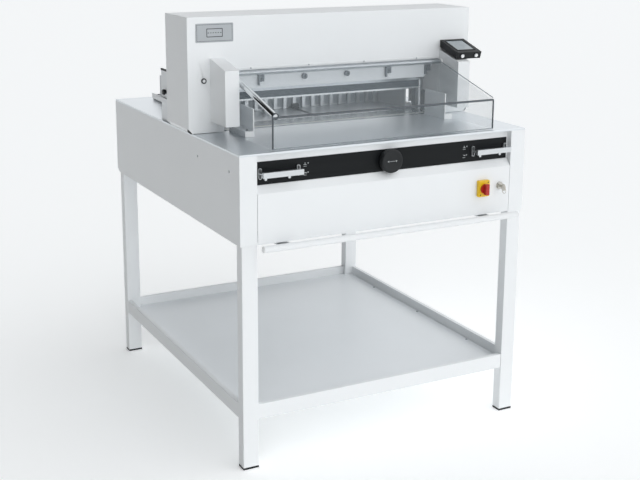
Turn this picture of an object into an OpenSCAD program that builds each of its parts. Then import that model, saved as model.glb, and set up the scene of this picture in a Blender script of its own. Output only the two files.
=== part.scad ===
// Floor-standing guillotine paper cutter with a powered clamp and knife.
// The origin is on the floor, under the middle of the whole machine. X runs to the
// right, Y to the back and Z up. Each module is drawn from the machine's front face
// at Y = 0, and at_front() moves it into place.

/* [Body] */
// Width of the table housing
body_w = 985; // [975:1:995]
// Depth of the table housing
body_d = 1112; // [1100:1:1160]
// Height of the working surface above the floor
table_z = 952; // [920:1:980]
// Height of the table housing, from its floor pan to the working surface
body_h = 265; // [262:1:275]
// Width of the two columns beside the front panel
column_w = 54; // [50:1:56]
// Depth of the recess that holds the control strip
recess_d = 18; // [16:1:20]

/* [Stand] */
// Width of a leg across the machine
leg_w = 50; // [40:1:54]
// Depth of a leg from front to back
leg_d = 36; // [30:1:45]
// Height of the shelf rails' lower edge
shelf_z = 152; // [120:1:260]
// Height of a shelf rail
rail_h = 47; // [44:1:60]

/* [Head] */
// Width of the machine head
head_w = 1012; // [1006:1:1030]
// Depth of the head, front to back
head_d = 186; // [186:1:200]
// Height of the head's top above the working surface
head_h = 353; // [353:1:380]
// Height of the throat that the head cover leaves above the table
throat_h = 188; // [180:1:195]

/* [Cutting] */
// Half of the widest sheet that the cutter takes
cut_half = 341; // [320:1:341]
// Knife travel straight down
knife_drop = 113; // [105:1:113]
// Angle of the knife's slicing path from the vertical, in degrees
knife_angle = 12; // [10:1:12]
// Distance from the front face to the face of the back gauge
gauge_y = 650; // [640:1:660]

/* [Guard] */
// Half of the clear guard's width
guard_half = 381; // [379:1:382]
// Thickness of the clear sheet
guard_t = 5; // [4:0.5:6]

/* [Hidden] */
$fn = 48;
eps = 0.01;

// Colours of the finishes
white = "#E9EBED";
pale = "#D4D8DA";
steel = "#AEB4B8";
bright = "#C8CCCF";
dark = "#2A2E30";
iron = "#6C747A";
clear = "#C5D3DA80";

sheet = 2;          // thickness of the cover panels
gap = 1;            // seam between neighbouring panels
run = 0.05;         // radial clearance of a running fit
half_w = body_w / 2;
bottom_z = table_z - body_h;

// The whole machine's depth runs from the pedal's front to the cable gland's back
pedal_out = 52;
gland_out = 24;
front_y = -(body_d + gland_out - pedal_out) / 2;

// Stand
foot_h = 6;
tube_wall = 2.5;
leg_inset = 5;
leg_front_y = 2;
leg_rear_y = body_d - 14 - leg_d;
leg_x = half_w - leg_inset - leg_w;     // inner face of a leg
rail_t = 15;
rail_wall = 2;
ledge_w = 15;
panel_z = shelf_z + 14;                 // underside of the shelf panel

// Table
top_t = 6;
top_under = table_z - top_t;
strip_bottom = bottom_z + 170;
strip_h = 68;
strip_z = strip_bottom + strip_h / 2;   // centre line of the control strip
column_in = half_w - column_w;          // inner edge of a front column
rear_top_y = 471;
slot_half = 7;
slot_y = [482, 1074];

// Cutting line
knife_y = 362;                          // front of the knife carrier
carrier_t = 24.5;
blade_t = 8;
edge_z = table_z + 112;                 // knife edge at rest
carrier_z = table_z + 126;
carrier_top = table_z + 344;
carrier_x = [-349, 372];
press_y = knife_y + carrier_t + blade_t + 1.5;  // front of the clamp
press_t = 56;
clamp_z = table_z + 84;
clamp_top = table_z + 198;
travel_dir = [-sin(knife_angle), 0, -cos(knife_angle)];
knife_travel = knife_drop / cos(knife_angle);
rod_top = [-362, knife_y + 12, table_z + 133];
rod_r = 9;
knife_bolt_x = [-262, -109, 44, 197, 350];
knife_bolt_z = table_z + 155;
roller_x = [-250, 250];
roller_r = 9;
roller_z = table_z + 226;
clamp_rod_x = 362;
clamp_rod_y = press_y + press_t / 2;
clamp_rod_r = 10;
bed_half = 376;
groove_y = 380;
groove_w = 22;
groove_d = 14;

// Machine frame
cheek_x = 392;
cheek_t = 40;
cheek_d = 124;
frame_h = 20;
frame_z = bottom_z + sheet;
beam_z = table_z + 213;

// Head
head_y = 348;
head_top = table_z + head_h;
head_low = table_z + 15;
head_half = head_w / 2;
throat_half = 389;

// Back gauge
comb_h = 82;
comb_lift = 0.6;
rib_pitch = 36;
rib_w = 12;
rib_d = 12;
comb_d = 50;
screw_z = table_z - 47;
screw_r = 10;
guide_x = 60;
guide_r = 8;
bearing_t = 15;
bearing_y = [484, 1076];
pulley_y = 1094;
pulley_r = 18;
motor_x = 112;

// Guard
hinge_y = 330;
hinge_z = table_z + 179;
guard_rod_r = 6;
guard_front = 20;
guard_low = table_z + 3;
guard_knee = table_z + 97;              // where the front sheet turns back
guard_bend = 10;

// Controls
bar_x = [303, 424];
bar_z = strip_z;
bar_h = 16;
bar_travel = 11;
stem_r = 3;
bracket_r = 5;
knob_r = 36;
knob_shaft_r = 5;
switch_x = 334;
switch_z = bottom_z + 86;
switch_w = 42;
switch_h = 52;
switch_t = 12;
lock_x = 399;
lock_z = bottom_z + 88;
lock_r = 9;
panel_tilt = 17;
panel_x = [392, 486];
panel_len = 110;
panel_t = 23;
panel_back = [head_y - 1, table_z + 248];   // top rear edge of the control panel

// Pedal
pedal_r = 10;
pedal_half = 438;
pedal_y = -42;
pedal_z = bottom_z - 2;
shaft_y = 250;
shaft_z = bottom_z - 22;
shaft_r = 8;
arm_x = 352;
arm_w = 38;

module at_front() translate([0, front_y, 0]) children();

// A box from its lowest to its highest corner
module block(low, high) translate(low) cube(high - low);

// A cylinder along Y from y0 to y1
module rod_y(x, z, r, y0, y1) translate([x, y0, z]) rotate([-90, 0, 0]) cylinder(r = r, h = y1 - y0);

// A cylinder along X from x0 to x1
module rod_x(y, z, r, x0, x1) translate([x0, y, z]) rotate([0, 90, 0]) cylinder(r = r, h = x1 - x0);

// A profile of [y, z] points drawn along X from x0 to x1
module profile_x(points, x0, x1) {
    translate([x0, 0, 0]) rotate([90, 0, 90]) linear_extrude(x1 - x0) polygon(points);
}

// A profile of [x, z] points drawn along Y from y0 to y1
module profile_y(points, y0, y1) {
    translate([0, y1, 0]) rotate([90, 0, 0]) linear_extrude(y1 - y0) polygon(points);
}

// The children and their mirror image about the middle of the machine
module both_sides() for (side = [0, 1]) mirror([side, 0, 0]) children();

// A square tube standing on end, with its lowest corner at low
module upright_tube(low, w, d, h) {
    translate(low) difference() {
        cube([w, d, h]);
        translate([tube_wall, tube_wall, -eps])
            cube([w - 2 * tube_wall, d - 2 * tube_wall, h - 3]);
    }
}

// ---- Stand ----

module leg_pair(y) {
    color(white) at_front() both_sides()
        upright_tube([leg_x, y, foot_h], leg_w, leg_d, bottom_z - foot_h);
}

module legs_front() leg_pair(leg_front_y);

module legs_rear() leg_pair(leg_rear_y);

module foot_caps() {
    plug = tube_wall + 0.3;
    color(dark) at_front() both_sides() for (y = [leg_front_y, leg_rear_y]) {
        block([leg_x, y, 0], [leg_x + leg_w, y + leg_d, foot_h]);
        block([leg_x + plug, y + plug, foot_h], [leg_x + leg_w - plug, y + leg_d - plug, foot_h + 22]);
    }
}

// A rail along X: a tube with the ledge that carries the shelf panel behind it
module shelf_rail(length) {
    translate([-length / 2, 0, 0]) {
        difference() {
            cube([length, rail_t, rail_h]);
            translate([-eps, rail_wall, rail_wall])
                cube([length + 2 * eps, rail_t - 2 * rail_wall, rail_h - 2 * rail_wall]);
        }
        translate([0, rail_t, 11]) cube([length, ledge_w, 3]);
    }
}

module shelf_rails() {
    span_x = 2 * leg_x;
    span_y = leg_rear_y - leg_front_y - leg_d;
    mid_y = (leg_front_y + leg_d + leg_rear_y) / 2;
    side_x = half_w - leg_inset - 2;
    color(white) at_front() {
        translate([0, leg_front_y + 2, shelf_z]) shelf_rail(span_x);
        translate([0, leg_rear_y + leg_d - 2, shelf_z]) rotate(180) shelf_rail(span_x);
        both_sides() translate([side_x, mid_y, shelf_z]) rotate(90) shelf_rail(span_y);
    }
}

// The shelf panel lies on the ledges and is notched round the legs
module shelf_panel() {
    side_x = half_w - leg_inset - 2 - rail_t - gap;
    y0 = leg_front_y + 2 + rail_t + gap;
    y1 = leg_rear_y + leg_d - 2 - rail_t - gap;
    color(pale) at_front() difference() {
        block([-side_x, y0, panel_z], [side_x, y1, panel_z + sheet]);
        both_sides() for (y = [leg_front_y, leg_rear_y])
            block([leg_x - gap, y - gap, panel_z - 1], [half_w, y + leg_d + gap, panel_z + 3]);
    }
}

// ---- Table housing ----

// One side of the housing: a sheet that wraps round the front as a column
module side_cover() {
    rear_lip = 22;
    hole_z = table_z - 60;
    outline = [
        [half_w, 0], [half_w, body_d], [half_w - rear_lip, body_d], [half_w - rear_lip, body_d - sheet],
        [half_w - sheet, body_d - sheet], [half_w - sheet, sheet], [column_in + sheet, sheet],
        [column_in + sheet, recess_d + sheet], [column_in, recess_d + sheet], [column_in, 0]
    ];
    difference() {
        translate([0, 0, bottom_z]) linear_extrude(top_under - bottom_z) polygon(outline);
        for (y = [75, 315]) rod_x(y, hole_z, 4, half_w - 5, half_w + 1);
        profile_x([[body_d + 1, bottom_z - 1], [body_d + 1, bottom_z + 12], [body_d - 20, bottom_z - 1]],
            half_w - sheet - 30, half_w + 1);
    }
}

module side_cover_left() color(pale) at_front() mirror([1, 0, 0]) side_cover();

module side_cover_right() color(white) at_front() side_cover();

// The lower front panel, with its sloping top edge running back into the recess
module front_panel() {
    lip_z = strip_bottom - 22;
    wall = [
        [0, bottom_z], [0, lip_z], [recess_d, strip_bottom], [recess_d + sheet, strip_bottom],
        [recess_d + sheet, strip_bottom - 3], [sheet, lip_z - 1], [sheet, bottom_z]
    ];
    color(white) at_front() difference() {
        profile_x(wall, -column_in + gap, column_in - gap);
        rod_y(switch_x, switch_z, 7, -1, sheet + 1);
        rod_y(lock_x, lock_z, lock_r, -1, sheet + 1);
    }
}

// The slots that a press bar's two stems travel in
module stem_slots(r, y0, y1) {
    for (x = bar_x) {
        for (z = [bar_z - bar_travel, bar_z + bar_travel]) rod_y(x, z, r, y0, y1);
        block([x - r, y0, bar_z - bar_travel], [x + r, y1, bar_z + bar_travel]);
    }
}

// The wall at the back of the recess; it carries the handwheel's bearing
module recess_panel() {
    color(white) at_front() difference() {
        union() {
            block([-column_in + gap, recess_d, strip_bottom + 0.5], [column_in - gap, recess_d + sheet, top_under]);
            rod_y(0, strip_z, 12, recess_d + sheet, recess_d + 24);
        }
        rod_y(0, strip_z, knob_shaft_r + run, recess_d - 1, recess_d + 25);
        both_sides() stem_slots(stem_r + 1, recess_d - 1, recess_d + 3);
    }
}

module control_strip() {
    color(dark) at_front() difference() {
        block([-column_in + 6, recess_d - 1.5, strip_bottom + 1], [column_in - 6, recess_d, strip_bottom + strip_h]);
        rod_y(0, strip_z, knob_shaft_r + 1, recess_d - 3, recess_d + 1);
        both_sides() stem_slots(stem_r + 1, recess_d - 3, recess_d + 1);
    }
}

module rear_panel() {
    edge = half_w - 22 - gap;
    color(pale) at_front() difference() {
        block([-edge, body_d - sheet, bottom_z + sheet], [edge, body_d, top_under]);
        rod_y(-380, bottom_z + 53, 9, body_d - 5, body_d + 1);
        for (i = [0 : 9]) block([180 + i * 14, body_d - 5, bottom_z + 60], [186 + i * 14, body_d + 1, bottom_z + 130]);
    }
}

module bottom_pan() {
    color(pale) at_front()
        block([-half_w + 4, recess_d + sheet + gap, bottom_z], [half_w - 4, body_d - 6, bottom_z + sheet]);
}

// Welded base: an outer ring of flat tube and a cross member under the cheeks
module base_frame() {
    bar = 40;
    outer = [half_w - 12, 24, body_d - 20];
    color(iron) at_front() {
        difference() {
            block([-outer[0], outer[1], frame_z], [outer[0], outer[2], frame_z + frame_h]);
            block([-outer[0] + bar, outer[1] + bar, frame_z - 1],
                [outer[0] - bar, outer[2] - bar, frame_z + frame_h + 1]);
        }
        for (y = [press_y - 4, 600])
            block([-outer[0] + bar - eps, y, frame_z], [outer[0] - bar + eps, y + 70, frame_z + frame_h]);
    }
}

module worktop_front() {
    color(bright) at_front()
        block([-half_w, 0, top_under], [half_w, knife_y - 5, table_z]);
}

// The rear table, cut away round the bed, the cheeks, the knife rod and the gauge slot
module worktop_rear() {
    z0 = top_under - 1;
    z1 = table_z + 1;
    color(bright) at_front() difference() {
        block([-half_w, knife_y - 5, top_under], [half_w, body_d, table_z]);
        block([-bed_half - gap, knife_y - 6, z0], [bed_half + gap, rear_top_y, z1]);
        block([-bed_half - 30, knife_y - 6, z0], [-bed_half, knife_y + 26, z1]);
        both_sides()
            block([cheek_x - gap, press_y - gap, z0], [cheek_x + cheek_t + gap, press_y + cheek_d + gap, z1]);
        block([-slot_half, slot_y[0], z0], [slot_half, slot_y[1], z1]);
    }
}

// ---- Machine frame ----

// The cast bed under the clamp, with the groove for the cutting stick
module bed() {
    rib_z = table_z - 92;
    color(iron) at_front() difference() {
        union() {
            block([-bed_half, knife_y - 4, table_z - 50], [bed_half, rear_top_y - gap, table_z]);
            block([-cheek_x, press_y, rib_z], [cheek_x, rear_top_y - gap, table_z - 50 + eps]);
        }
        block([-bed_half - 1, groove_y, table_z - groove_d], [bed_half + 1, groove_y + groove_w, table_z + 1]);
        for (x = [-clamp_rod_x, clamp_rod_x])
            translate([x, clamp_rod_y, rib_z - 1]) cylinder(r = clamp_rod_r + 2, h = 100);
    }
}

module cutting_stick() {
    color("#D9DBD8") at_front()
        block([-bed_half + 6, groove_y, table_z - groove_d],
            [bed_half - 6, groove_y + groove_w, table_z - 1.5]);
}

// A cast side frame that ties the base, the bed and the head together
module cheek() {
    z0 = frame_z + frame_h;
    z1 = table_z + 318;
    outline = [
        [press_y, z0], [press_y + cheek_d, z0], [press_y + cheek_d, table_z + 170],
        [press_y + cheek_d - 40, z1], [press_y, z1]
    ];
    difference() {
        profile_x(outline, cheek_x, cheek_x + cheek_t);
        rod_x(press_y + 62, table_z - 170, 28, cheek_x - 1, cheek_x + cheek_t + 1);
    }
}

module cheek_left() color(iron) at_front() mirror([1, 0, 0]) cheek();

module cheek_right() color(iron) at_front() cheek();

// The cross beam between the cheeks, with the two rollers that steer the knife carrier
module crossbeam() {
    color(iron) at_front() {
        block([-cheek_x, press_y, beam_z], [cheek_x, press_y + press_t, table_z + 318]);
        for (x = roller_x) rod_y(x, roller_z, roller_r - run, knife_y, press_y + eps);
    }
}

// ---- Head covers ----

module head_front_cover() {
    tuck = half_w + 1;
    outline = [
        [tuck, table_z + 1], [head_half, head_low], [head_half, head_top],
        [-head_half, head_top], [-head_half, head_low], [-tuck, table_z + 1]
    ];
    color(white) at_front() difference() {
        profile_y(outline, head_y, head_y + sheet);
        block([-throat_half, head_y - 1, table_z], [throat_half, head_y + 3, table_z + throat_h]);
        rod_y(-455, table_z + 161, 8, head_y - 1, head_y + 3);
    }
}

// The bent hood: the head's two ends, its top and its back
module head_hood() {
    y0 = head_y + sheet;
    y1 = head_y + head_d;
    tuck = half_w + 1;
    shell = [
        [tuck, table_z + 1], [head_half, head_low], [head_half, head_top], [-head_half, head_top],
        [-head_half, head_low], [-tuck, table_z + 1], [-tuck + sheet, table_z + 1],
        [-head_half + sheet, head_low], [-head_half + sheet, head_top - sheet],
        [head_half - sheet, head_top - sheet], [head_half - sheet, head_low], [tuck - sheet, table_z + 1]
    ];
    color(white) at_front() {
        profile_y(shell, y0, y1);
        difference() {
            block([-head_half + sheet, y1 - sheet, head_low], [head_half - sheet, y1, head_top - sheet]);
            block([-throat_half, y1 - 3, head_low - 1], [throat_half, y1 + 1, table_z + throat_h]);
        }
    }
}

// White plates that close the throat's ends; the left one stands behind the knife carrier
module inner_guards() {
    z0 = table_z + 69;
    z1 = table_z + throat_h;
    rear = 445;
    color(white) at_front() {
        block([throat_half, head_y + sheet, z0], [throat_half + sheet, rear, z1]);
        block([-throat_half - sheet, press_y - 2, z0], [-throat_half, rear, z1]);
    }
}

// ---- Knife ----

// The slots that ride on the rollers; they lean at the slicing angle and open at the top
module roller_slots() {
    for (x = roller_x) hull() for (rise = [0, knife_travel + 30])
        rod_y(x - travel_dir[0] * rise, roller_z - travel_dir[2] * rise, roller_r, knife_y - 1, press_y);
}

// The bore in the carrier's lug that holds the pull rod
module rod_bore() {
    translate(rod_top) rotate([0, knife_angle, 0]) translate([0, 0, -20]) cylinder(r = rod_r, h = 38);
}

module knife_carrier() {
    corner = 32;
    outline = [
        [carrier_x[0], carrier_z], [carrier_x[1] - corner, carrier_z], [carrier_x[1], carrier_z + 40],
        [carrier_x[1], carrier_top], [carrier_x[0], carrier_top]
    ];
    y1 = knife_y + carrier_t;
    color(bright) at_front() difference() {
        union() {
            profile_y(outline, knife_y, y1);
            block([carrier_x[0] - 27, knife_y, rod_top[2]], [carrier_x[0] + eps, y1, rod_top[2] + 40]);
        }
        roller_slots();
        rod_bore();
        for (x = knife_bolt_x) rod_y(x, knife_bolt_z, 5, knife_y - 1, y1 + 1);
    }
}

module knife_blade() {
    y0 = knife_y + carrier_t;
    y1 = y0 + blade_t;
    bevel = 18;
    section = [[y1 - 0.3, edge_z], [y1, edge_z], [y1, edge_z + 86], [y0, edge_z + 86], [y0, edge_z + bevel]];
    color(steel) at_front() difference() {
        profile_x(section, -342, 360);
        for (x = knife_bolt_x) rod_y(x, knife_bolt_z, 5, y0 - 1, y1 + 1);
    }
}

module knife_bolts() {
    color(iron) at_front() for (x = knife_bolt_x) {
        rod_y(x, knife_bolt_z, 5, knife_y, knife_y + carrier_t + blade_t);
        difference() {
            rod_y(x, knife_bolt_z, 9, knife_y - 8, knife_y);
            translate([x, knife_y - 9, knife_bolt_z]) rotate([-90, 0, 0]) cylinder(r = 4.5, h = 5, $fn = 6);
        }
    }
}

// Places children at a distance down the knife rod, with Z along the rod
module along_rod(distance) {
    translate(rod_top + distance * travel_dir) rotate([0, knife_angle, 0]) children();
}

// The pull rod and its piston
module knife_rod() {
    color(steel) at_front() {
        along_rod(215) translate([0, 0, -10]) cylinder(r = rod_r, h = 243);
        along_rod(225) cylinder(r = 15.9, h = 20);
    }
}

module knife_cylinder() {
    color(dark) at_front() difference() {
        union() {
            along_rod(352) cylinder(r = 19, h = 170);
            block([-cheek_x - 36, press_y - 22, table_z - 140], [-cheek_x - 8, press_y, table_z - 100]);
        }
        along_rod(346) cylinder(r = 16, h = 146);
        along_rod(210) translate([0, 0, -5]) cylinder(r = rod_r + run, h = 60);
    }
}

// ---- Clamp ----

module clamp_beam() {
    y1 = press_y + press_t;
    bar_low = clamp_top - 30;
    color(iron) at_front() difference() {
        union() {
            block([-cut_half, press_y, clamp_z], [cut_half, y1, bar_low + eps]);
            block([-clamp_rod_x - 14, press_y, bar_low], [clamp_rod_x + 14, y1, clamp_top]);
        }
        for (x = [-clamp_rod_x, clamp_rod_x])
            translate([x, clamp_rod_y, bar_low - 1]) cylinder(r = clamp_rod_r, h = 40);
    }
}

// The pull rods, their pistons and the nuts above the clamp
module clamp_rods() {
    piston_z = table_z - 142;
    color(steel) at_front() both_sides() translate([clamp_rod_x, clamp_rod_y, 0]) {
        translate([0, 0, piston_z]) cylinder(r = clamp_rod_r, h = clamp_top - piston_z);
        translate([0, 0, piston_z]) cylinder(r = 16.9, h = 22);
        translate([0, 0, clamp_top]) cylinder(r = 15, h = 9, $fn = 6);
    }
}

module clamp_cylinders() {
    z0 = table_z - 238;
    z1 = table_z - 92;
    color(dark) at_front() both_sides() translate([clamp_rod_x, clamp_rod_y, 0]) difference() {
        translate([0, 0, z0]) cylinder(r = 23, h = z1 - z0);
        translate([0, 0, z0 + 6]) cylinder(r = 17, h = z1 - z0 - 24);
        translate([0, 0, z1 - 30]) cylinder(r = clamp_rod_r + run, h = 40);
    }
}

// The oil tank with its pump and motor lying on top
module hydraulic_unit() {
    z0 = frame_z + frame_h;
    color(iron) at_front() {
        block([110, 720, z0], [400, 960, z0 + 90]);
        rod_x(840, z0 + 128, 40, 130, 300);
        rod_x(840, z0 + 128, 26, 300 - eps, 372);
        block([150, 815, z0 + 90 - eps], [280, 865, z0 + 100]);
        block([310, 822, z0 + 90 - eps], [360, 858, z0 + 110]);
    }
}

// ---- Back gauge ----

module gauge_comb() {
    z0 = table_z + comb_lift;
    z1 = z0 + comb_h;
    half = cut_half - gap;
    ribs = floor((half - rib_w / 2) / rib_pitch);
    color(bright) at_front() {
        block([-half, gauge_y + rib_d, z0], [half, gauge_y + rib_d + 8, z1]);
        block([-half, gauge_y + rib_d, z1 - 6], [half, gauge_y + comb_d, z1]);
        for (i = [-ribs : ribs]) translate([i * rib_pitch - rib_w / 2, gauge_y, z0])
            cube([rib_w, rib_d + eps, comb_h]);
    }
}

// The nut block under the table, with a neck through the slot to the comb
module gauge_carriage() {
    y0 = gauge_y + comb_d + 2;
    y1 = y0 + 36;
    block_z = screw_z + 20;
    color(iron) at_front() difference() {
        union() {
            block([-guide_x - 20, y0, screw_z - 18], [guide_x + 20, y1, block_z]);
            block([-slot_half + 1.5, y0 + 4, block_z - eps], [slot_half - 1.5, y1 - 4, table_z + comb_lift]);
            block([-14, gauge_y + rib_d + 8, table_z + comb_lift], [14, y1, table_z + 48]);
        }
        rod_y(0, screw_z, screw_r + run, y0 - 1, y1 + 1);
        for (x = [-guide_x, guide_x]) rod_y(x, screw_z, guide_r + run, y0 - 1, y1 + 1);
    }
}

// A toothed pulley on the Y axis line at x, z
module pulley(x, z) {
    rod_y(x, z, pulley_r, pulley_y, pulley_y + 10);
    rod_y(x, z, pulley_r + 3, pulley_y - 1.5, pulley_y);
}

module lead_screw() {
    color(steel) at_front() {
        rod_y(0, screw_z, screw_r, bearing_y[0] + bearing_t, bearing_y[1]);
        rod_y(0, screw_z, 6, bearing_y[0] + 2, bearing_y[0] + bearing_t + eps);
        rod_y(0, screw_z, 6, bearing_y[1] - eps, pulley_y);
        pulley(0, screw_z);
    }
}

// The two guide rods and the end plates that hold them and the screw
module gauge_guides() {
    color(steel) at_front() {
        for (x = [-guide_x, guide_x])
            rod_y(x, screw_z, guide_r, bearing_y[0] + bearing_t - eps, bearing_y[1] + eps);
        for (y = bearing_y) difference() {
            block([-guide_x - 20, y, screw_z - 20], [guide_x + 20, y + bearing_t, top_under]);
            rod_y(0, screw_z, 6 + run, y - 1, y + bearing_t + 1);
        }
    }
}

module gauge_motor() {
    z0 = screw_z - 25;
    color(dark) at_front() difference() {
        union() {
            block([motor_x - 25, 1000, z0], [motor_x + 25, 1078, z0 + 50]);
            block([motor_x - 25, 1078 - eps, z0], [motor_x + 25, 1084, top_under]);
        }
        rod_y(motor_x, screw_z, 4 + run, 1040, 1090);
    }
}

module motor_pulley() {
    color(steel) at_front() {
        rod_y(motor_x, screw_z, 4, 1042, pulley_y);
        pulley(motor_x, screw_z);
    }
}

// The area that the belt runs round, r from both pulleys' centres
module belt_outline(r, y0, y1) {
    rod_y(0, screw_z, r, y0, y1);
    rod_y(motor_x, screw_z, r, y0, y1);
    block([0, y0, screw_z - r], [motor_x, y1, screw_z + r]);
}

// The belt loop, just clear of both pulleys
module drive_belt() {
    belt_r = pulley_r + 0.4;
    belt_t = 2;
    color(dark) at_front() difference() {
        belt_outline(belt_r + belt_t, pulley_y + 1, pulley_y + 9);
        belt_outline(belt_r, pulley_y, pulley_y + 10);
    }
}

// L-shaped side lays in front of the knife and behind the clamp
module side_guides() {
    foot_w = 30;
    color(bright) at_front() both_sides() for (span = [[234, head_y + 6], [rear_top_y + 8, 1050]]) {
        block([cut_half, span[0], table_z], [cut_half + 4, span[1], table_z + 86]);
        block([cut_half + 4 - eps, span[0], table_z], [cut_half + foot_w, span[1], table_z + 18]);
    }
}

// ---- Guard ----

// The clear sheet: its front, the bend, the slope up to the hinge and its two sides
module guard_shell() {
    slope = atan2(hinge_z - guard_knee, hinge_y - guard_front);
    arc_steps = 6;
    bend_c = [guard_front + guard_bend, guard_knee - guard_bend];
    outer = [for (i = [0 : arc_steps]) let (a = 180 - i * (90 - slope) / arc_steps)
        bend_c + guard_bend * [cos(a), sin(a)]];
    inner = [for (i = [arc_steps : -1 : 0]) let (a = 180 - i * (90 - slope) / arc_steps)
        bend_c + (guard_bend - guard_t) * [cos(a), sin(a)]];
    normal = [-sin(slope), cos(slope)];
    rear_outer = [hinge_y, hinge_z] + (guard_t / 2) * normal;
    rear_inner = [hinge_y, hinge_z] - (guard_t / 2) * normal;
    sheet_line = concat([[guard_front, guard_low]], outer, [rear_outer, rear_inner], inner,
        [[guard_front + guard_t, guard_low]]);
    side_area = concat([[guard_front + eps, guard_low]], outer,
        [rear_outer, [hinge_y - 6, hinge_z - 40], [hinge_y - 22, guard_low]]);
    color(clear) at_front() difference() {
        union() {
            profile_x(sheet_line, -guard_half, guard_half);
            both_sides() profile_x(side_area, guard_half - guard_t, guard_half);
            rod_x(hinge_y, hinge_z, guard_rod_r + 3, -guard_half, guard_half);
        }
        rod_x(hinge_y, hinge_z, guard_rod_r, -guard_half - 1, guard_half + 1);
    }
}

module guard_rod() {
    color(steel) at_front() rod_x(hinge_y, hinge_z, guard_rod_r, -throat_half - 30, throat_half + 30);
}

// The blocks beside the guard that carry its rod
module guard_blocks() {
    x1 = throat_half + 45;
    color(white) at_front() for (side = [0, 1]) mirror([side, 0, 0]) {
        top = side == 1 ? [table_z + 203, table_z + 229] : [table_z + 187, table_z + 216];
        difference() {
            profile_x([[232, table_z + 36], [232, top[0]], [head_y, top[1]], [head_y, table_z + 36]],
                throat_half, x1);
            rod_x(hinge_y, hinge_z, guard_rod_r + run, throat_half - 1, throat_half + 32);
        }
    }
}

// ---- Controls ----

// Places children on the control panel: X across, Y up the slope from its front edge, Z out
module on_panel() {
    translate([panel_x[0], panel_back[0], panel_back[1]]) rotate([panel_tilt, 0, 0])
        translate([0, -panel_len, 0]) children();
}

module panel_housing() {
    w = panel_x[1] - panel_x[0];
    color(dark) at_front() difference() {
        on_panel() translate([0, 0, -panel_t]) cube([w, panel_len, panel_t]);
        on_panel() translate([14, 22, -3]) cube([w - 28, panel_len - 34, 4]);
        for (x = [20, w - 20]) on_panel() translate([x, -1, -panel_t / 2])
            rotate([-90, 0, 0]) cylinder(r = 6 + run, h = 13);
        block([panel_x[0] - 1, head_y, 0], [panel_x[1] + 1, head_y + 60, head_top]);
    }
}

module panel_screen() {
    w = panel_x[1] - panel_x[0];
    color("#8C979C") at_front() on_panel() translate([14, 22, -3]) cube([w - 28, panel_len - 34, 2.4]);
}

// A round push button in the control panel's front face
module panel_button(x) {
    color(white) at_front() on_panel() translate([x, -4, -panel_t / 2]) rotate([-90, 0, 0]) cylinder(r = 6, h = 12);
}

module panel_button_left() panel_button(20);

module panel_button_right() panel_button(panel_x[1] - panel_x[0] - 20);

module handwheel() {
    color(dark) at_front() {
        rod_y(0, strip_z, knob_r, -8, recess_d - 4);
        rod_y(0, strip_z, knob_shaft_r, recess_d - 4 - eps, recess_d + 22);
    }
}

// A two-hand bar: a flat bar on two stems
module press_bar() {
    block([bar_x[0] - 3, -18, bar_z - bar_h / 2], [bar_x[1] + 3, -8, bar_z + bar_h / 2]);
    for (x = bar_x) rod_y(x, bar_z, stem_r, -8 - eps, recess_d + 16);
}

module press_bar_left() color(bright) at_front() mirror([1, 0, 0]) press_bar();

module press_bar_right() color(bright) at_front() press_bar();

// The slotted end plates and screw heads round each press bar
module bar_brackets() {
    face = recess_d - 1.5;
    color(bright) at_front() both_sides() {
        difference() {
            for (x = bar_x) {
                for (z = [bar_z - bar_travel, bar_z + bar_travel]) rod_y(x, z, bracket_r, face - 6, face);
                block([x - bracket_r, face - 6, bar_z - bar_travel],
                    [x + bracket_r, face, bar_z + bar_travel]);
            }
            stem_slots(stem_r + 0.6, face - 7, face + 1);
        }
        for (x = [bar_x[0] + 28, bar_x[1] - 18]) rod_y(x, bar_z - 18, 4, face - 4, face);
    }
}

module switch_plate() {
    color("#EBC21E") at_front() difference() {
        block([switch_x - switch_w / 2, -switch_t, switch_z - switch_h / 2],
            [switch_x + switch_w / 2, 0, switch_z + switch_h / 2]);
        rod_y(switch_x, switch_z, 5 + run, -switch_t - 1, 1);
    }
}

// The turning handle of the main switch and its shaft
module switch_handle() {
    color("#A81C16") at_front() {
        rod_y(switch_x, switch_z, 15, -switch_t - 6, -switch_t - 0.5);
        block([switch_x - 6, -switch_t - 19, switch_z - 17], [switch_x + 6, -switch_t - 6 + eps, switch_z + 17]);
        rod_y(switch_x, switch_z, 5, -switch_t - 1, 6);
    }
}

module lock_barrel() {
    color(steel) at_front() difference() {
        union() {
            rod_y(lock_x, lock_z, lock_r, 0, 24);
            rod_y(lock_x, lock_z, 12, -4, 0);
        }
        rod_y(lock_x, lock_z, 5 + run, -5, 20);
    }
}

// The key and the plug that it turns
module key() {
    color(bright) at_front() {
        rod_y(lock_x, lock_z, 5, -4, 19);
        block([lock_x - 1.2, -14, lock_z - 4], [lock_x + 1.2, -4 + eps, lock_z + 4]);
        difference() {
            rod_x(-23, lock_z - 2, 11, lock_x - 1.2, lock_x + 1.2);
            rod_x(-28, lock_z - 2, 3, lock_x - 2, lock_x + 2);
        }
    }
}

// ---- Pedal ----

module pedal() {
    color(white) at_front() {
        difference() {
            union() {
                rod_x(pedal_y, pedal_z, pedal_r, -pedal_half, pedal_half);
                both_sides() {
                    block([arm_x - arm_w / 2, pedal_y, pedal_z - pedal_r],
                        [arm_x + arm_w / 2, shaft_y, pedal_z - pedal_r + 4]);
                    rod_x(shaft_y, shaft_z, 14, arm_x - arm_w / 2, arm_x + arm_w / 2);
                }
            }
            rod_x(shaft_y, shaft_z, shaft_r + run, -pedal_half, pedal_half);
        }
    }
}

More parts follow.
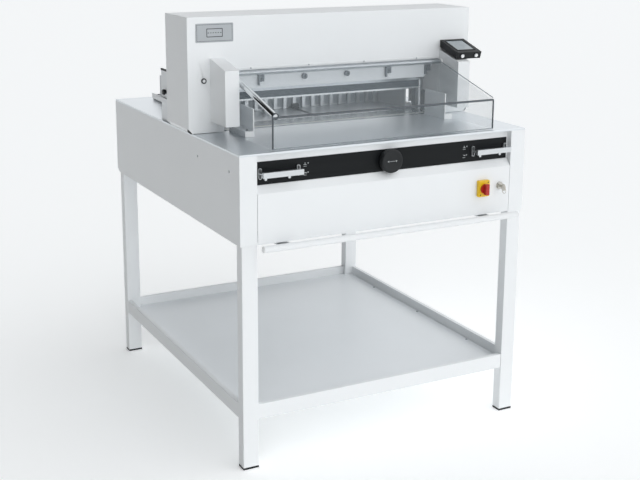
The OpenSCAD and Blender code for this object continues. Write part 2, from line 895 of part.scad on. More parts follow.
// The fixed pivot shaft and the hangers under the floor pan
module pedal_shaft() {
    color(steel) at_front() {
        rod_x(shaft_y, shaft_z, shaft_r, -arm_x - 34, arm_x + 34);
        both_sides() block([arm_x + 26, shaft_y - 14, shaft_z - 12], [arm_x + 31, shaft_y + 14, bottom_z]);
    }
}

// ---- Rear ----

// The strain-relief gland where the supply enters, with an open bore
module cable_gland() {
    x = -380;
    z = bottom_z + 53;
    color(dark) at_front() difference() {
        union() {
            rod_y(x, z, 9, body_d - 12, body_d);
            translate([x, body_d, z]) rotate([-90, 0, 0]) cylinder(r = 14, h = 8, $fn = 6);
            rod_y(x, z, 10.5, body_d + 8 - eps, body_d + gland_out);
        }
        rod_y(x, z, 4.5, body_d - 13, body_d + gland_out + 1);
    }
}

// Guards at the head's rear corners and the rails behind them
module rear_shields() {
    x1 = half_w - 7;
    y0 = head_y + head_d;
    color(pale) at_front() both_sides() {
        block([x1 - 3, y0, table_z], [x1, y0 + 106, table_z + 167]);
        block([x1, y0, table_z + 60], [x1 + 6, y0 + 181, table_z + 76]);
    }
}

module electrical_box() {
    z0 = frame_z + frame_h;
    color(pale) at_front() block([-330, 90, z0], [-60, 250, z0 + 130]);
}

legs_front();
legs_rear();
foot_caps();
shelf_rails();
shelf_panel();
side_cover_left();
side_cover_right();
front_panel();
recess_panel();
control_strip();
rear_panel();
bottom_pan();
base_frame();
worktop_front();
worktop_rear();
bed();
cutting_stick();
head_front_cover();
head_hood();
cheek_left();
cheek_right();
crossbeam();
inner_guards();
knife_carrier();
knife_blade();
knife_bolts();
knife_rod();
knife_cylinder();
clamp_beam();
clamp_rods();
clamp_cylinders();
hydraulic_unit();
gauge_comb();
gauge_carriage();
lead_screw();
gauge_guides();
gauge_motor();
motor_pulley();
drive_belt();
side_guides();
guard_shell();
guard_rod();
guard_blocks();
panel_housing();
panel_screen();
panel_button_left();
panel_button_right();
handwheel();
press_bar_left();
press_bar_right();
bar_brackets();
switch_plate();
switch_handle();
lock_barrel();
key();
pedal();
pedal_shaft();
cable_gland();
rear_shields();
electrical_box();
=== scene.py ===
"""Looks of a floor-standing guillotine paper cutter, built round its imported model.

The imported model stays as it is: every piece here dresses it, stands for one of its nodes
or adds a detail to it. Lengths are in metres, in the model's own frame: X to the right,
Y to the back and Z up.
"""
import logging
import math
from dataclasses import dataclass
from enum import Enum
from typing import Callable, Iterable, Optional, Sequence, Union

import bmesh
import bpy
from mathutils import Matrix, Vector


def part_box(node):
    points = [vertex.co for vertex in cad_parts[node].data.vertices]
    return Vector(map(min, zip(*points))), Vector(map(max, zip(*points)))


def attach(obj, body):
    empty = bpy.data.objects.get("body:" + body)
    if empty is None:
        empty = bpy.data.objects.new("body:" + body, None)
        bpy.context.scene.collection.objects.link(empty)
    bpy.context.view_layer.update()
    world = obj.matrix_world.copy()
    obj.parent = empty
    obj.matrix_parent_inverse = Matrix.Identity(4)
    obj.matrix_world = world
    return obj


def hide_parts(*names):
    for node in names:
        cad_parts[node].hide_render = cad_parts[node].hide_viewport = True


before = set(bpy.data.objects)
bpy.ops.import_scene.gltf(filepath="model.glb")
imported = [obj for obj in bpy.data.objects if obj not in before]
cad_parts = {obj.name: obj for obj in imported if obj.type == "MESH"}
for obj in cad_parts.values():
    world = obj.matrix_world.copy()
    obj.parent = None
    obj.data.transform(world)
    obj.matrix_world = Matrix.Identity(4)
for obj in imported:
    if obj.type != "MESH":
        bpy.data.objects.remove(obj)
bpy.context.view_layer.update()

MM = 0.001
LOG = logging.getLogger("paper_cutter")
Point = Sequence[float]
Outline = list[tuple[float, float]]
Mesh = bmesh.types.BMesh
# Share by which a finish's roughness wanders, and how strongly its grain shades
ROUGHNESS_SPREAD = 0.18
GRAIN_STRENGTH = 0.35


class Axis(Enum):
    """A direction of the frame, as a vector."""

    X = (1, 0, 0)
    Y = (0, 1, 0)
    Z = (0, 0, 1)


class Slot(Enum):
    """The record's material slots; nothing here assigns them to the new pieces."""

    WHITE = "white_paint"
    BLACK = "black_plastic"
    GROUND = "ground_steel"
    DARK = "dark_steel"
    ALUMINIUM = "satin_aluminium"
    CLEAR = "clear_acrylic"
    BUTTON = "white_plastic"
    YELLOW = "yellow_plastic"
    NICKEL = "nickel"


# ---------------------------------------------------------------- finishes


def linear(code: str) -> tuple[float, float, float, float]:
    """Turns an sRGB hex colour to linear light.

    Args:
        code: the colour as "#RRGGBB".

    Returns:
        Red, green, blue and an alpha of 1.
    """
    parts = [int(code[i : i + 2], 16) / 255 for i in (1, 3, 5)]
    r, g, b = (c / 12.92 if c <= 0.04045 else ((c + 0.055) / 1.055) ** 2.4 for c in parts)
    return r, g, b, 1.0


def wire(tree: bpy.types.NodeTree, node: bpy.types.Node, **inputs: object) -> bpy.types.Node:
    """Sets or links a node's input sockets.

    Args:
        tree: the node tree.
        node: the node whose sockets they are.
        inputs: a value for each socket, by its name with underscores for spaces or by its
            number as _0, _1 and so on. A node links its first output, a (node, output) pair
            links that output, and anything else is a constant.

    Returns:
        The same node.
    """
    for name, value in inputs.items():
        socket = node.inputs[int(name[1:]) if name[1:].isdigit() else name.replace("_", " ")]
        if isinstance(value, bpy.types.Node):
            value = (value, 0)
        if isinstance(value, tuple) and isinstance(value[0], bpy.types.Node):
            tree.links.new(value[0].outputs[value[1]], socket)
        else:
            socket.default_value = value
    return node


def add_node(
    tree: bpy.types.NodeTree, kind: str, settings: Optional[dict] = None, **inputs: object
) -> bpy.types.Node:
    """Adds a shader node.

    Args:
        tree: the node tree.
        kind: the node's type name.
        settings: attributes of the node itself.
        inputs: its input sockets, as wire takes them.

    Returns:
        The new node.
    """
    node = tree.nodes.new(kind)
    for name, value in (settings or {}).items():
        setattr(node, name, value)
    return wire(tree, node, **inputs)


def new_material(name: str, colour: str) -> tuple[bpy.types.Material, bpy.types.Node, bpy.types.Node]:
    """Starts a material.

    Args:
        name: its name.
        colour: its sRGB hex colour in the viewport.

    Returns:
        The material, its shader and its texture coordinates.
    """
    mat = bpy.data.materials.new(name)
    mat.use_nodes = True
    mat.diffuse_color = linear(colour)
    shader = mat.node_tree.nodes["Principled BSDF"]
    return mat, shader, add_node(mat.node_tree, "ShaderNodeTexCoord")


@dataclass(frozen=True)
class Finish:
    """A surface finish that a noise texture breaks up.

    Attributes:
        name: the material's name.
        colour: its sRGB hex colour.
        roughness: its mean roughness.
        metallic: 1 for a bare metal.
        grain_mm: width of one grain of its texture.
        stretch: how much longer than wide a grain is, along X.
        relief_mm: height of the grain.
        mottle: how far the colour wanders, as a share.
        coat: weight of a clear top layer.
        ior: index of refraction; a metal keeps the default.
        gloss: how strong its reflections are, 0.5 as the index gives them.
        glow: light that comes through it from behind.
    """

    name: str
    colour: str
    roughness: float
    metallic: float = 0.0
    grain_mm: float = 1.2
    stretch: float = 1.0
    relief_mm: float = 0.02
    mottle: float = 0.03
    coat: float = 0.0
    ior: float = 1.5
    gloss: float = 0.5
    glow: float = 0.0

    def material(self) -> bpy.types.Material:
        """Returns the material, made once."""
        found = bpy.data.materials.get(self.name)
        if found is not None:
            return found
        mat, shader, place = new_material(self.name, self.colour)
        tree, base = mat.node_tree, linear(self.colour)
        scale = 1 / (self.grain_mm * MM)
        across = (scale / self.stretch, scale, scale)
        fine = add_node(tree, "ShaderNodeMapping", Vector=(place, "Object"), Scale=across)
        grain = add_node(tree, "ShaderNodeTexNoise", Vector=fine, Scale=1.0, Detail=3.0)
        broad = add_node(tree, "ShaderNodeTexNoise", Vector=(place, "Object"), Scale=6.0, Detail=2.0)
        low, high = ((*(min(1.0, c * (1 + way * self.mottle)) for c in base[:3]), 1.0) for way in (-1, 1))
        blend = add_node(tree, "ShaderNodeMix", {"data_type": "RGBA"}, Factor=(broad, "Fac"), _6=low, _7=high)
        rough = add_node(
            tree,
            "ShaderNodeMapRange",
            Value=(grain, "Fac"),
            To_Min=max(0.02, self.roughness * (1 - ROUGHNESS_SPREAD)),
            To_Max=min(1.0, self.roughness * (1 + ROUGHNESS_SPREAD)),
        )
        height = self.relief_mm * MM
        bump = add_node(tree, "ShaderNodeBump", Height=(grain, "Fac"), Strength=GRAIN_STRENGTH, Distance=height)
        wire(tree, shader, Base_Color=(blend, 2), Roughness=rough, Normal=bump, Metallic=self.metallic)
        wire(tree, shader, Coat_Weight=self.coat, Specular_IOR_Level=self.gloss)
        wire(tree, shader, Emission_Color=base, Emission_Strength=self.glow)
        if not self.metallic:
            wire(tree, shader, IOR=self.ior)
        return mat


@dataclass(frozen=True)
class ClearFinish:
    """A clear moulded sheet.

    Attributes:
        name: the material's name.
        colour: the tint that it gives what is behind it.
        roughness: how far its reflections blur.
        veil: how much each of its faces hides; a thin sheet bends the view too little to see.
        ior: index of refraction.
    """

    name: str
    colour: str
    roughness: float
    veil: float = 0.09
    ior: float = 1.49

    def material(self) -> bpy.types.Material:
        """Returns the material, made once."""
        found = bpy.data.materials.get(self.name)
        if found is not None:
            return found
        mat, shader, place = new_material(self.name, self.colour)
        tree = mat.node_tree
        smear = add_node(tree, "ShaderNodeTexNoise", Vector=(place, "Object"), Scale=9.0, Detail=2.0)
        blur = {"To_Min": self.roughness * 0.5, "To_Max": self.roughness * 1.5}
        rough = add_node(tree, "ShaderNodeMapRange", Value=(smear, "Fac"), **blur)
        wire(tree, shader, Roughness=rough, Base_Color=linear(self.colour), Alpha=self.veil)
        wire(tree, shader, Specular_IOR_Level=1.0, IOR=self.ior)
        return mat


class Look:
    """The finishes of this machine, each named after its real material."""

    # Powder coat on sheet steel: even, slightly orange-peeled and softly glossy
    WHITE = Finish("powder_coat_white", "#EDEFF0", 0.46, grain_mm=1.6, relief_mm=0.03, mottle=0.012, coat=0.06)
    # The same powder in light grey, on the shelf, the pan and the shields
    GREY = Finish("powder_coat_grey", "#EAEDEF", 0.45, grain_mm=1.6, relief_mm=0.03, mottle=0.015, coat=0.10)
    # Chrome-plated ground steel plate: pale, blurred reflections with a faint lay across the machine
    TOP = Finish("plated_steel_plate", "#E4E8EB", 0.36, 1.0, grain_mm=0.8, stretch=60, relief_mm=0.004, mottle=0.02)
    # Hammered machine enamel on iron castings
    IRON = Finish("machine_enamel_grey", "#7C848A", 0.42, grain_mm=2.2, relief_mm=0.06, mottle=0.05, coat=0.1)
    # The same iron ground bright on the bed's top
    BED = Finish("ground_cast_iron", "#B4B9BD", 0.26, 1.0, grain_mm=0.8, stretch=30, relief_mm=0.006, mottle=0.04)
    # Sand-cast aluminium of the oil tank
    CAST = Finish("sand_cast_aluminium", "#9EA3A7", 0.50, 1.0, grain_mm=2.0, relief_mm=0.08, mottle=0.05)
    # The clamp's enamel, darkened further as painted shade for the shadow that falls on its face under the head
    CLAMP = Finish("clamp_enamel_painted_shade", "#4A545C", 0.40, grain_mm=2.2, relief_mm=0.05, mottle=0.04, coat=0.1)
    # Pale enamel on the knife carrier
    CARRIER = Finish("machine_enamel_pale", "#E3E7EA", 0.36, grain_mm=1.8, relief_mm=0.03, coat=0.2)
    # Ground tool steel: bright with fine marks along X
    GROUND = Finish("ground_tool_steel", "#C4C7CA", 0.24, 1.0, grain_mm=0.6, stretch=40, relief_mm=0.006)
    # Burnished steel of the knife's bolts and clips
    BURNISHED = Finish("burnished_steel", "#777D82", 0.34, 1.0, grain_mm=0.8, relief_mm=0.008, mottle=0.05)
    # Chrome-plated tube on the guard's left edge: sharp bright streaks
    CHROME = Finish("chrome_plated_steel", "#DEE1E3", 0.12, 1.0, grain_mm=2.0, relief_mm=0.002, mottle=0.02)
    # Zinc-plated screws and rods
    ZINC = Finish("zinc_plated_steel", "#B9BDC1", 0.30, 1.0, grain_mm=0.7, relief_mm=0.008, mottle=0.05)
    # Black oxide on the bolts and cylinders
    OXIDE = Finish("black_oxide_steel", "#3A3D40", 0.38, 0.7, grain_mm=0.9, relief_mm=0.012, mottle=0.08)
    # Satin anodised aluminium extrusions
    ANODISED = Finish(
        "anodised_aluminium", "#D9DCDE", 0.32, 1.0, grain_mm=0.5, stretch=50, relief_mm=0.005, mottle=0.02
    )
    # Moulded ABS with a fine spark-eroded texture
    ABS = Finish("moulded_abs_black", "#181B1D", 0.46, grain_mm=0.7, relief_mm=0.03, mottle=0.06, ior=1.54, gloss=0.3)
    # Printed black foil on the control strip: flatter and smoother than the mouldings
    FOIL = Finish("printed_foil_black", "#131618", 0.45, grain_mm=2.0, relief_mm=0.008, gloss=0.18)
    # Bead-blasted aluminium of the name plate: grey and matt beside the white cover
    BLASTED = Finish("bead_blasted_aluminium", "#B4B8BB", 0.55, 0.6, grain_mm=0.6, relief_mm=0.01, mottle=0.02)
    # White printing ink of the marks
    INK = Finish("printing_ink_white", "#A9ADAE", 0.5, grain_mm=0.4, relief_mm=0.003, mottle=0.02)
    # Grey strips between the comb's ribs: painted shade in the gaps, matt so that the ribs stand out
    COMB_GAP_SHADE = Finish("comb_gap_painted_shade", "#BCC3C8", 0.6, grain_mm=1.0, relief_mm=0.01, mottle=0.04, ior=1.53)
    # Dark engraving on the name plate
    ENGRAVING = Finish("engraved_line_grey", "#25282B", 0.5, 0.3, grain_mm=0.4, relief_mm=0.004)
    # Glossy polycarbonate of the main switch and the buttons
    YELLOW = Finish("polycarbonate_yellow", "#EFC51C", 0.30, grain_mm=1.4, relief_mm=0.01, mottle=0.02, ior=1.58)
    RED = Finish("polycarbonate_red", "#B3201A", 0.28, grain_mm=1.4, relief_mm=0.01, ior=1.58)
    BUTTON = Finish("polycarbonate_white", "#F2F3F3", 0.22, grain_mm=1.4, relief_mm=0.005, mottle=0.01, ior=1.58)
    # Polyamide cutting stick
    STICK = Finish("polyamide_natural", "#D2D3CF", 0.40, grain_mm=1.5, relief_mm=0.02, mottle=0.05, ior=1.53)
    # Display window behind smoked glass
    SCREEN = Finish("display_glass_grey", "#8E999E", 0.12, grain_mm=3.0, relief_mm=0.002, mottle=0.02, coat=0.6)
    # Nickel-plated brass of the lock and key
    NICKEL = Finish("nickel_plated_brass", "#C9C7C0", 0.18, 1.0, grain_mm=0.8, relief_mm=0.004, mottle=0.04)
    # Polyurethane toothed belt
    BELT = Finish("polyurethane_belt", "#1B1C1D", 0.55, grain_mm=0.8, relief_mm=0.03, mottle=0.08)
    # Cast acrylic: clear with a cool tint
    ACRYLIC = ClearFinish("cast_acrylic", "#C3CED4", 0.03)
    # Painted shade on the clear sheet's edges: a dark glossy strip where a clear edge looks dark
    ACRYLIC_EDGE_SHADE = Finish(
        "acrylic_edge_painted_shade", "#39424A", 0.12, 0.2, grain_mm=3.0, relief_mm=0.002, mottle=0.05, coat=0.8
    )
    # Painted highlight on the same edge, where it catches the light: on the slope's end and along the lower edges
    ACRYLIC_EDGE_HIGHLIGHT = Finish("acrylic_edge_painted_highlight", "#9AA4AA", 0.25, 0.2, grain_mm=3.0, relief_mm=0.004, mottle=0.05)
    # Pale matt floor of the studio, a translucent sheet lit from below as well
    FLOOR = Finish("studio_floor_white", "#FAFBFB", 0.85, grain_mm=40, relief_mm=0.01, mottle=0.004, glow=0.28)


# ---------------------------------------------------------------- mesh tools


@dataclass(frozen=True)
class Box:
    """The lowest and highest corner of a CAD node at rest."""

    low: Vector
    high: Vector

    @classmethod
    def of(cls, node: str) -> "Box":
        """Returns the box of the named CAD node."""
        return cls(*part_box(node))

    @property
    def size(self) -> Vector:
        """The box's extent along each axis."""
        return self.high - self.low


def add_box(mesh: Mesh, low: Point, high: Point) -> None:
    """Adds a box to the mesh from its lowest to its highest corner."""
    low, high = Vector(low), Vector(high)
    place = Matrix.Translation((low + high) / 2) @ Matrix.Diagonal((*(high - low), 1.0))
    bmesh.ops.create_cube(mesh, size=1.0, matrix=place)


def bridge(mesh: Mesh, rings: list, closed: bool = False) -> None:
    """Joins each ring of vertices to the next.

    Args:
        mesh: the mesh that the rings are in.
        rings: rings of as many vertices, or of one vertex where the shape ends in a point.
        closed: joins the last ring to the first; otherwise both end rings are filled.
    """
    steps = max(len(ring) for ring in rings)
    for a, b in zip(rings, rings[1:] + rings[:1] if closed else rings[1:]):
        for i in range(steps):
            j = (i + 1) % steps
            corners = dict.fromkeys((a[i % len(a)], a[j % len(a)], b[j % len(b)], b[i % len(b)]))
            if len(corners) > 2:
                mesh.faces.new(list(corners))
    for ring in () if closed else (rings[0][::-1], rings[-1]):
        if len(ring) > 1:
            mesh.faces.new(ring)


def add_lathe(
    mesh: Mesh,
    centre: Point,
    axis: Union[Axis, Vector],
    profile: Sequence[tuple],
    steps: int = 40,
    closed: bool = False,
) -> None:
    """Adds a turned solid.

    Args:
        mesh: the mesh that it is added to.
        centre: the point on the axis that distances count from.
        axis: the direction of the axis that the profile turns about.
        profile: (distance along the axis, radius) in millimetres or, for a hexagonal ring,
            (distance, radius, 6), from one end to the other; radius 0 closes an end.
        steps: points round each ring, a multiple of 6 where a ring is hexagonal.
        closed: joins the profile's end to its start, as for the wall of a tube.
    """
    way = Vector(axis.value) if isinstance(axis, Axis) else axis
    turn = Vector((0, 0, 1)).rotation_difference(way).to_matrix().to_4x4()
    place = Matrix.Translation(Vector(centre)) @ turn
    rings = []
    for distance, radius, *sides in profile:
        ring = []
        for i in range(steps if radius > 0 else 1):
            angle = 2 * math.pi * i / steps
            reach = radius
            if sides:
                flat = math.pi / sides[0]
                reach = radius * math.cos(flat) / math.cos(angle % (2 * flat) - flat)
            spot = Vector((reach * math.cos(angle), reach * math.sin(angle), distance))
            ring.append(mesh.verts.new(place @ (spot * MM)))
        rings.append(ring)
    bridge(mesh, rings, closed)


def add_plate(mesh: Mesh, outline: Sequence[Point], front: float, back: float) -> None:
    """Adds a prism that runs from front to back, in from_front's millimetres.

    Args:
        mesh: the mesh that it is added to.
        outline: its (x, height) points.
        front: y of one end.
        back: y of the other end.
    """
    bridge(mesh, [[mesh.verts.new(from_front(x, y, z)) for x, z in outline] for y in (front, back)])


def add_rail(mesh: Mesh, section: Sequence[Point], left: float, right: float) -> None:
    """Adds a prism that runs across the machine, in from_front's millimetres.

    Args:
        mesh: the mesh that it is added to.
        section: its (y, height) points.
        left: x of one end.
        right: x of the other end.
    """
    bridge(mesh, [[mesh.verts.new(from_front(x, y, z)) for y, z in section] for x in (left, right)])


def rounded(width: float, height: float, radius: float, steps: int = 6) -> Outline:
    """Returns the outline of a rectangle with round corners, centred on the origin."""
    points = []
    for sx, sy, start in ((1, 1, 0), (-1, 1, 90), (-1, -1, 180), (1, -1, 270)):
        for i in range(steps + 1):
            angle = math.radians(start + 90 * i / steps)
            x = sx * (width / 2 - radius) + radius * math.cos(angle)
            points.append((x, sy * (height / 2 - radius) + radius * math.sin(angle)))
    return points


def shifted(outline: Iterable[Point], dx: float, dy: float) -> Outline:
    """Returns an outline moved in its own plane."""
    return [(x + dx, y + dy) for x, y in outline]


def mirrored(outline: Iterable[Point], side: int) -> Outline:
    """Returns an outline with its first coordinate multiplied by side, 1 or -1."""
    return [(side * x, y) for x, y in outline]


def add_screw(mesh: Mesh, seat: Point, axis: Axis, out: int, radius: float) -> None:
    """Adds a button-head socket screw that stands on a face.

    Args:
        mesh: the mesh that it is added to.
        seat: the centre of the head's underside.
        axis: the axis of the screw.
        out: 1 if the head points along the axis, -1 if it points against it.
        radius: radius of the head, in millimetres.
    """
    rise = radius * 0.55 * out
    socket = radius * 0.5
    profile = [
        (0, radius),
        (rise * 0.45, radius * 0.96),
        (rise * 0.85, radius * 0.72),
        (rise, socket * 1.25),
        (rise, socket, 6),
        (rise * 0.35, socket * 0.94, 6),
        (rise * 0.25, 0),
    ]
    add_lathe(mesh, seat, axis, profile, 24)


def smooth_edges(piece: bpy.types.Object, width_mm: float, segments: int = 2, angle: float = 32.0) -> None:
    """Rounds a piece's sharp edges with modifiers.

    Args:
        piece: the object.
        width_mm: width of the rounding.
        segments: faces across it.
        angle: edges sharper than this are rounded, in degrees.
    """
    weld = piece.modifiers.new("join", "WELD")
    weld.merge_threshold = 0.01 * MM
    if width_mm:
        bevel = piece.modifiers.new("round", "BEVEL")
        bevel.width = width_mm * MM
        bevel.segments = segments
        bevel.limit_method = "ANGLE"
        bevel.angle_limit = math.radians(angle)
        bevel.use_clamp_overlap = True
    piece.modifiers.new("shade", "WEIGHTED_NORMAL").keep_sharp = True


def dress(node: str, finish: Finish, width_mm: float = 0.0, segments: int = 2, merge: bool = False) -> None:
    """Gives a CAD node its finish and rounds its edges.

    Args:
        node: the node's name.
        finish: the finish of its surface.
        width_mm: width of the rounding on its edges.
        segments: faces across the rounding.
        merge: joins the triangles of each flat face, which a face with round holes needs.
    """
    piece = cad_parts[node]
    if merge:
        flatten = piece.modifiers.new("flatten", "DECIMATE")
        flatten.decimate_type = "DISSOLVE"
        flatten.angle_limit = math.radians(0.5)
    piece.data.materials.clear()
    piece.data.materials.append(finish.material())
    smooth_edges(piece, width_mm, segments)
    LOG.info("dressed %s in %s", node, finish.name)


@dataclass
class Workshop:
    """Makes pieces that ride on one body.

    Attributes:
        body: the body's name.
    """

    body: str = "frame"

    def make(
        self,
        name: str,
        finish: Finish,
        draw: Callable[[Mesh], None],
        width_mm: float = 0.0,
        replaces: Sequence[str] = (),
    ) -> bpy.types.Object:
        """Builds one piece and puts it on the body.

        Args:
            name: the piece's name.
            finish: its finish.
            draw: a function that fills its mesh.
            width_mm: width of the rounding on its edges.
            replaces: CAD nodes that it stands for.

        Returns:
            The piece's object.
        """
        mesh = bmesh.new()
        draw(mesh)
        bmesh.ops.recalc_face_normals(mesh, faces=mesh.faces)
        for face in mesh.faces:
            face.smooth = True
        data = bpy.data.meshes.new(name)
        mesh.to_mesh(data)
        mesh.free()
        piece = bpy.data.objects.new(name, data)
        bpy.context.scene.collection.objects.link(piece)
        data.materials.append(finish.material())
        smooth_edges(piece, width_mm)
        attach(piece, self.body)
        if replaces:
            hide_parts(*replaces)
        LOG.info("made %s on %s", name, self.body)
        return piece


# ---------------------------------------------------------------- where things are

FRONT = Box.of("front_panel").low.y
TABLE = Box.of("worktop_front").high.z


def from_front(x: float, y: float, z: float) -> Vector:
    """Turns millimetres to the frame's metres.

    Args:
        x: distance to the right of the machine's middle.
        y: distance behind the table housing's front face.
        z: height above the working surface.

    Returns:
        The point in the frame.
    """
    return Vector((x * MM, FRONT + y * MM, TABLE + z * MM))


# ---------------------------------------------------------------- sub-assemblies


@dataclass
class Stand:
    """The four legs, their feet and the shelf.

    Attributes:
        leg_edge_mm: rounding of the legs' edges.
        shelf_screw_mm: radius of the shelf screws' heads.
    """

    leg_edge_mm: float = 1.6
    shelf_screw_mm: float = 4.5

    def dress(self) -> None:
        """Dresses the stand's nodes."""
        for node in ("legs_front", "legs_rear"):
            dress(node, Look.WHITE, self.leg_edge_mm)
        dress("foot_caps", Look.ABS, 1.0)
        dress("shelf_rails", Look.WHITE, 1.2)
        dress("shelf_panel", Look.GREY, 0.6)

    def build(self) -> None:
        """Makes the screws that hold the shelf panel to its ledges."""
        panel = Box.of("shelf_panel")
        inset = 9 * MM

        def draw(mesh: Mesh) -> None:
            """Draws three screws along each side of the panel."""
            for x in (panel.low.x + inset, panel.high.x - inset):
                for share in (0.2, 0.5, 0.8):
                    y = panel.low.y + share * panel.size.y
                    add_screw(mesh, (x, y, panel.high.z), Axis.Z, 1, self.shelf_screw_mm)

        Workshop().make("shelf_screws", Look.ZINC, draw)


@dataclass
class Housing:
    """The table housing's panels, its tops and what lies inside it.

    Attributes:
        panel_edge_mm: rounding of the panels' edges.
        screw_mm: radius of the rear panel screws' heads.
    """

    panel_edge_mm: float = 1.0
    screw_mm: float = 4.0

    def dress(self) -> None:
        """Dresses the housing's nodes."""
        for node in ("side_cover_left", "side_cover_right", "front_panel", "recess_panel", "rear_panel"):
            dress(node, Look.WHITE, self.panel_edge_mm, merge=True)
        for node in ("bottom_pan", "electrical_box"):
            dress(node, Look.GREY, 0.8)
        for node in ("worktop_front", "worktop_rear"):
            dress(node, Look.TOP, 0.8)
        dress("control_strip", Look.FOIL, 0.5)
        dress("base_frame", Look.IRON, 1.5)
        dress("hydraulic_unit", Look.CAST, 2.0, 3)

    def build(self) -> None:
        """Makes the screws round the rear panel."""
        panel = Box.of("rear_panel")
        inset = 12 * MM

        def draw(mesh: Mesh) -> None:
            """Draws a row of screws along the panel's top and bottom."""
            for z in (panel.low.z + inset, panel.high.z - inset):
                for share in (0.02, 0.26, 0.5, 0.74, 0.98):
                    x = panel.low.x + share * panel.size.x
                    add_screw(mesh, (x, panel.high.y, z), Axis.Y, 1, self.screw_mm)

        Workshop().make("rear_panel_screws", Look.ZINC, draw)


@dataclass
class Head:
    """The head's covers and the iron frame inside them.

    Attributes:
        cover_edge_mm: rounding of the covers' edges.
        plug: x, y and height above the table of the plug in the front cover.
        plate: x, height above the table, width and height of the blank name plate.
        throat: half width, height above the table and front face of the throat.
        corner: x and heights of the black corner wedges under the cover.
    """

    cover_edge_mm: float = 1.2
    plug: Point = (-455, 348, 161)
    plate: Point = (-418, 305, 122, 57)
    throat: Point = (389, 188, 348)
    corner: Point = (493.5, 506, 1, 15)

    def dress(self) -> None:
        """Dresses the head's nodes."""
        dress("head_front_cover", Look.WHITE, 0.9)
        dress("head_hood", Look.WHITE, self.cover_edge_mm)
        dress("inner_guards", Look.WHITE, 0.8)
        for node in ("cheek_left", "cheek_right", "crossbeam"):
            dress(node, Look.IRON, 1.5)

    def draw_plug(self, mesh: Mesh) -> None:
        """Draws the plug's dark collar."""
        collar = [(2, 7.4), (-1.5, 7.4), (-1.5, 8.4), (-3.2, 8.2), (-3.6, 6.6), (-2.6, 5.4), (-2.4, 0)]
        add_lathe(mesh, from_front(*self.plug), Axis.Y, collar, 36)

    def draw_plug_cap(self, mesh: Mesh) -> None:
        """Draws the pale cap in the plug."""
        cap = [(-2.3, 5.0), (-3.4, 4.9), (-4.2, 3.6), (-4.5, 0)]
        add_lathe(mesh, from_front(*self.plug), Axis.Y, cap, 36)

    def draw_plate(self, mesh: Mesh) -> None:
        """Draws the name plate, a thin sheet with round corners."""
        x, z, width, height = self.plate
        face = self.throat[2]
        add_plate(mesh, shifted(rounded(width, height, 3), x, z), face - 1.2, face)

    def draw_mark(self, mesh: Mesh) -> None:
        """Draws a plain engraved mark: a border, a sheet and the line that it is cut along."""
        x, z, width, height = self.plate
        face = self.throat[2] - 1.35
        back = self.throat[2] - 1.1

        def bar(x0: float, x1: float, z0: float, z1: float) -> None:
            """Draws one engraved bar, measured from the plate's middle."""
            add_box(mesh, from_front(x + x0, face, z + z0), from_front(x + x1, back, z + z1))

        half_w, half_h, line = width / 2 - 4, height / 2 - 4, 0.9
        for side in (-1, 1):
            bar(-half_w, half_w, side * half_h - line / 2, side * half_h + line / 2)
            bar(side * half_w - line / 2, side * half_w + line / 2, -half_h, half_h)
        for x0, x1 in ((-26, -24), (24, 26)):
            bar(x0, x1, -13, 13)
        for z0, z1 in ((-13, -11), (11, 13)):
            bar(-26, 26, z0, z1)
        for i in range(6):
            bar(-22 + i * 8, -18 + i * 8, -1, 1)

    def draw_corners(self, mesh: Mesh) -> None:
        """Draws the black wedges that close the cover's lower corners."""
        inner, outer, low, high = self.corner
        wedge = [(inner, low), (outer, high), (outer - 1, high - 9), (inner + 5, low)]
        for side in (-1, 1):
            add_plate(mesh, mirrored(wedge, side), 348.3, 362)

    def draw_lip(self, mesh: Mesh) -> None:
        """Draws the folded lip along the throat's top edge."""
        half, z, y = self.throat
        section = [(-1.6, 1), (-1.6, 7), (0, 7), (0, 0), (9, 0), (9, -1.6), (-0.4, -1.6)]
        add_rail(mesh, shifted(section, y, z), -half, half)

    def draw_screws(self, mesh: Mesh) -> None:
        """Draws the screws along the lip and on the hood's back."""
        _, z, y = self.throat
        for x in (-300, -100, 100, 300):
            add_screw(mesh, from_front(x, y - 1.6, z + 4), Axis.Y, -1, 2.6)
        back = Box.of("head_hood").high.y
        for height, places in ((330, (-440, -150, 150, 440)), (60, (-440, 440))):
            for x in places:
                add_screw(mesh, (x * MM, back, from_front(0, 0, height).z), Axis.Y, 1, 4)

    def build(self) -> None:
        """Makes the head's small parts."""
        shop = Workshop()
        shop.make("cover_plug_collar", Look.OXIDE, self.draw_plug, 0.2)
        shop.make("cover_plug_cap", Look.BUTTON, self.draw_plug_cap)
        shop.make("name_plate", Look.BLASTED, self.draw_plate, 0.3)
        shop.make("name_plate_mark", Look.ENGRAVING, self.draw_mark)
        shop.make("cover_corner_wedges", Look.ABS, self.draw_corners, 0.5)
        shop.make("throat_lip", Look.WHITE, self.draw_lip, 0.4)
        shop.make("cover_screws", Look.ZINC, self.draw_screws)


